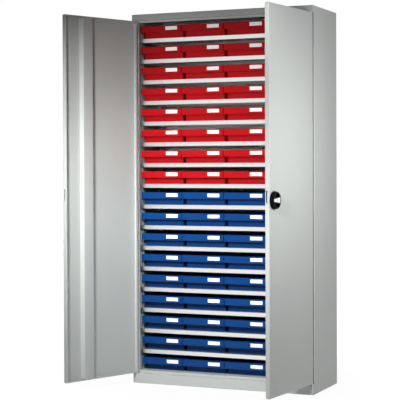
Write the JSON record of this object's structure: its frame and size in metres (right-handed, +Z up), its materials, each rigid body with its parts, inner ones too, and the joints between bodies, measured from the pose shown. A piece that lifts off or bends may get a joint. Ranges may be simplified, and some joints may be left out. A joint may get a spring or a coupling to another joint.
{
  "type": "parts bin cabinet",
  "caption": "Steel cupboard with two hinged doors, rotary handle lock and rows of small plastic storage bins on lipped shelves.",
  "frame": {"origin": "on the floor, under the middle of the body without its doors", "axes": "+Z up, -Y out of the front, +X to the right seen from the front"},
  "size_m": [1.1705, 0.8824, 1.95],
  "materials": {
    "powder_coat": "fine textured satin powder coat",
    "zinc": "bright zinc plate",
    "red_plastic": "satin moulded plastic",
    "blue_plastic": "satin moulded plastic",
    "black_plastic": "satin moulded plastic",
    "white_plate": "satin"
  },
  "bodies": {
    "root": {"side_left": "powder_coat", "side_right": "powder_coat", "back_panel": "powder_coat", "top_panel": "powder_coat", "header": "powder_coat", "floor_pan": "powder_coat", "floor_support": "powder_coat", "plinth": "powder_coat", "uprights": "powder_coat", "shelf_rails": "zinc", "hinge_pins": "zinc", "red_bins": "red_plastic", "blue_bins": "blue_plastic", "shelf_01": "powder_coat", "shelf_02": "powder_coat", "shelf_03": "powder_coat", "shelf_04": "powder_coat", "shelf_05": "powder_coat", "shelf_06": "powder_coat", "shelf_07": "powder_coat", "shelf_08": "powder_coat", "shelf_09": "powder_coat", "shelf_10": "powder_coat", "shelf_11": "powder_coat", "shelf_12": "powder_coat", "shelf_13": "powder_coat", "shelf_14": "powder_coat", "shelf_15": "powder_coat", "shelf_16": "powder_coat"},
    "left_door": {"door_left": "powder_coat", "door_left_stiffener": "powder_coat"},
    "right_door": {"door_right": "powder_coat", "door_right_stiffener": "powder_coat", "lock_case": "zinc", "rod_guides": "zinc"},
    "handle": {"handle_knob": "black_plastic", "handle_insert": "white_plate", "handle_spindle": "zinc"},
    "key_barrel": {"lock_cylinder": "zinc"},
    "upper_bolt": {"rod_upper": "zinc"},
    "lower_bolt": {"rod_lower": "zinc"},
    "tongue": {"latch_tongue": "zinc"},
    "row_01_bin": {"sliding_bin_01": "red_plastic"},
    "row_02_bin": {"sliding_bin_02": "red_plastic"},
    "row_03_bin": {"sliding_bin_03": "red_plastic"},
    "row_04_bin": {"sliding_bin_04": "red_plastic"},
    "row_05_bin": {"sliding_bin_05": "red_plastic"},
    "row_06_bin": {"sliding_bin_06": "red_plastic"},
    "row_07_bin": {"sliding_bin_07": "red_plastic"},
    "row_08_bin": {"sliding_bin_08": "red_plastic"},
    "row_09_bin": {"sliding_bin_09": "blue_plastic"},
    "row_10_bin": {"sliding_bin_10": "blue_plastic"},
    "row_11_bin": {"sliding_bin_11": "blue_plastic"},
    "row_12_bin": {"sliding_bin_12": "blue_plastic"},
    "row_13_bin": {"sliding_bin_13": "blue_plastic"},
    "row_14_bin": {"sliding_bin_14": "blue_plastic"},
    "row_15_bin": {"sliding_bin_15": "blue_plastic"},
    "row_16_bin": {"sliding_bin_16": "blue_plastic"},
    "row_17_bin": {"sliding_bin_17": "blue_plastic"}
  },
  "joints": [
    {"name": "left_door_swing", "type": "hinge", "parent": "root", "child": "left_door", "pos_m": [-0.491, -0.195, 0.985], "axis": [0, 0, -1], "range_deg": [-111, 4]},
    {"name": "right_door_swing", "type": "hinge", "parent": "root", "child": "right_door", "pos_m": [0.491, -0.195, 0.985], "axis": [0, 0, 1], "range_deg": [-84, 31]},
    {"name": "handle_turn", "type": "hinge", "parent": "right_door", "child": "handle", "pos_m": [0.44969, -0.63585, 0.987], "axis": [0.9945, -0.1045, 0], "range_deg": [-90, 0]},
    {"name": "key_turn", "type": "hinge", "parent": "handle", "child": "key_barrel", "pos_m": [0.44969, -0.63585, 0.987], "axis": [0.9945, -0.1045, 0], "range_deg": [0, 90]},
    {"name": "upper_bolt_slide", "type": "slide", "parent": "right_door", "child": "upper_bolt", "axis": [0, 0, 1], "range_m": [0, 0.0165]},
    {"name": "lower_bolt_slide", "type": "slide", "parent": "right_door", "child": "lower_bolt", "axis": [0, 0, -1], "range_m": [0, 0.0165]},
    {"name": "tongue_slide", "type": "slide", "parent": "right_door", "child": "tongue", "axis": [-0.1045, -0.9945, 0], "range_m": [0, 0.0119]},
    {"name": "row_01_slide", "type": "slide", "parent": "root", "child": "row_01_bin", "axis": [0, -1, 0], "range_m": [0, 0.25]},
    {"name": "row_02_slide", "type": "slide", "parent": "root", "child": "row_02_bin", "axis": [0, -1, 0], "range_m": [0, 0.25]},
    {"name": "row_03_slide", "type": "slide", "parent": "root", "child": "row_03_bin", "axis": [0, -1, 0], "range_m": [0, 0.25]},
    {"name": "row_04_slide", "type": "slide", "parent": "root", "child": "row_04_bin", "axis": [0, -1, 0], "range_m": [0, 0.25]},
    {"name": "row_05_slide", "type": "slide", "parent": "root", "child": "row_05_bin", "axis": [0, -1, 0], "range_m": [0, 0.25]},
    {"name": "row_06_slide", "type": "slide", "parent": "root", "child": "row_06_bin", "axis": [0, -1, 0], "range_m": [0, 0.25]},
    {"name": "row_07_slide", "type": "slide", "parent": "root", "child": "row_07_bin", "axis": [0, -1, 0], "range_m": [0, 0.25]},
    {"name": "row_08_slide", "type": "slide", "parent": "root", "child": "row_08_bin", "axis": [0, -1, 0], "range_m": [0, 0.25]},
    {"name": "row_09_slide", "type": "slide", "parent": "root", "child": "row_09_bin", "axis": [0, -1, 0], "range_m": [0, 0.25]},
    {"name": "row_10_slide", "type": "slide", "parent": "root", "child": "row_10_bin", "axis": [0, -1, 0], "range_m": [0, 0.25]},
    {"name": "row_11_slide", "type": "slide", "parent": "root", "child": "row_11_bin", "axis": [0, -1, 0], "range_m": [0, 0.25]},
    {"name": "row_12_slide", "type": "slide", "parent": "root", "child": "row_12_bin", "axis": [0, -1, 0], "range_m": [0, 0.25]},
    {"name": "row_13_slide", "type": "slide", "parent": "root", "child": "row_13_bin", "axis": [0, -1, 0], "range_m": [0, 0.25]},
    {"name": "row_14_slide", "type": "slide", "parent": "root", "child": "row_14_bin", "axis": [0, -1, 0], "range_m": [0, 0.25]},
    {"name": "row_15_slide", "type": "slide", "parent": "root", "child": "row_15_bin", "axis": [0, -1, 0], "range_m": [0, 0.25]},
    {"name": "row_16_slide", "type": "slide", "parent": "root", "child": "row_16_bin", "axis": [0, -1, 0], "range_m": [0, 0.25]},
    {"name": "row_17_slide", "type": "slide", "parent": "root", "child": "row_17_bin", "axis": [0, -1, 0], "range_m": [0, 0.25]}
  ],
  "couplings": [
    {"joint": "upper_bolt_slide", "follows": "handle_turn", "m_per_rad": -0.0105},
    {"joint": "lower_bolt_slide", "follows": "handle_turn", "m_per_rad": -0.0105},
    {"joint": "tongue_slide", "follows": "handle_turn", "m_per_rad": -0.00756}
  ]
}
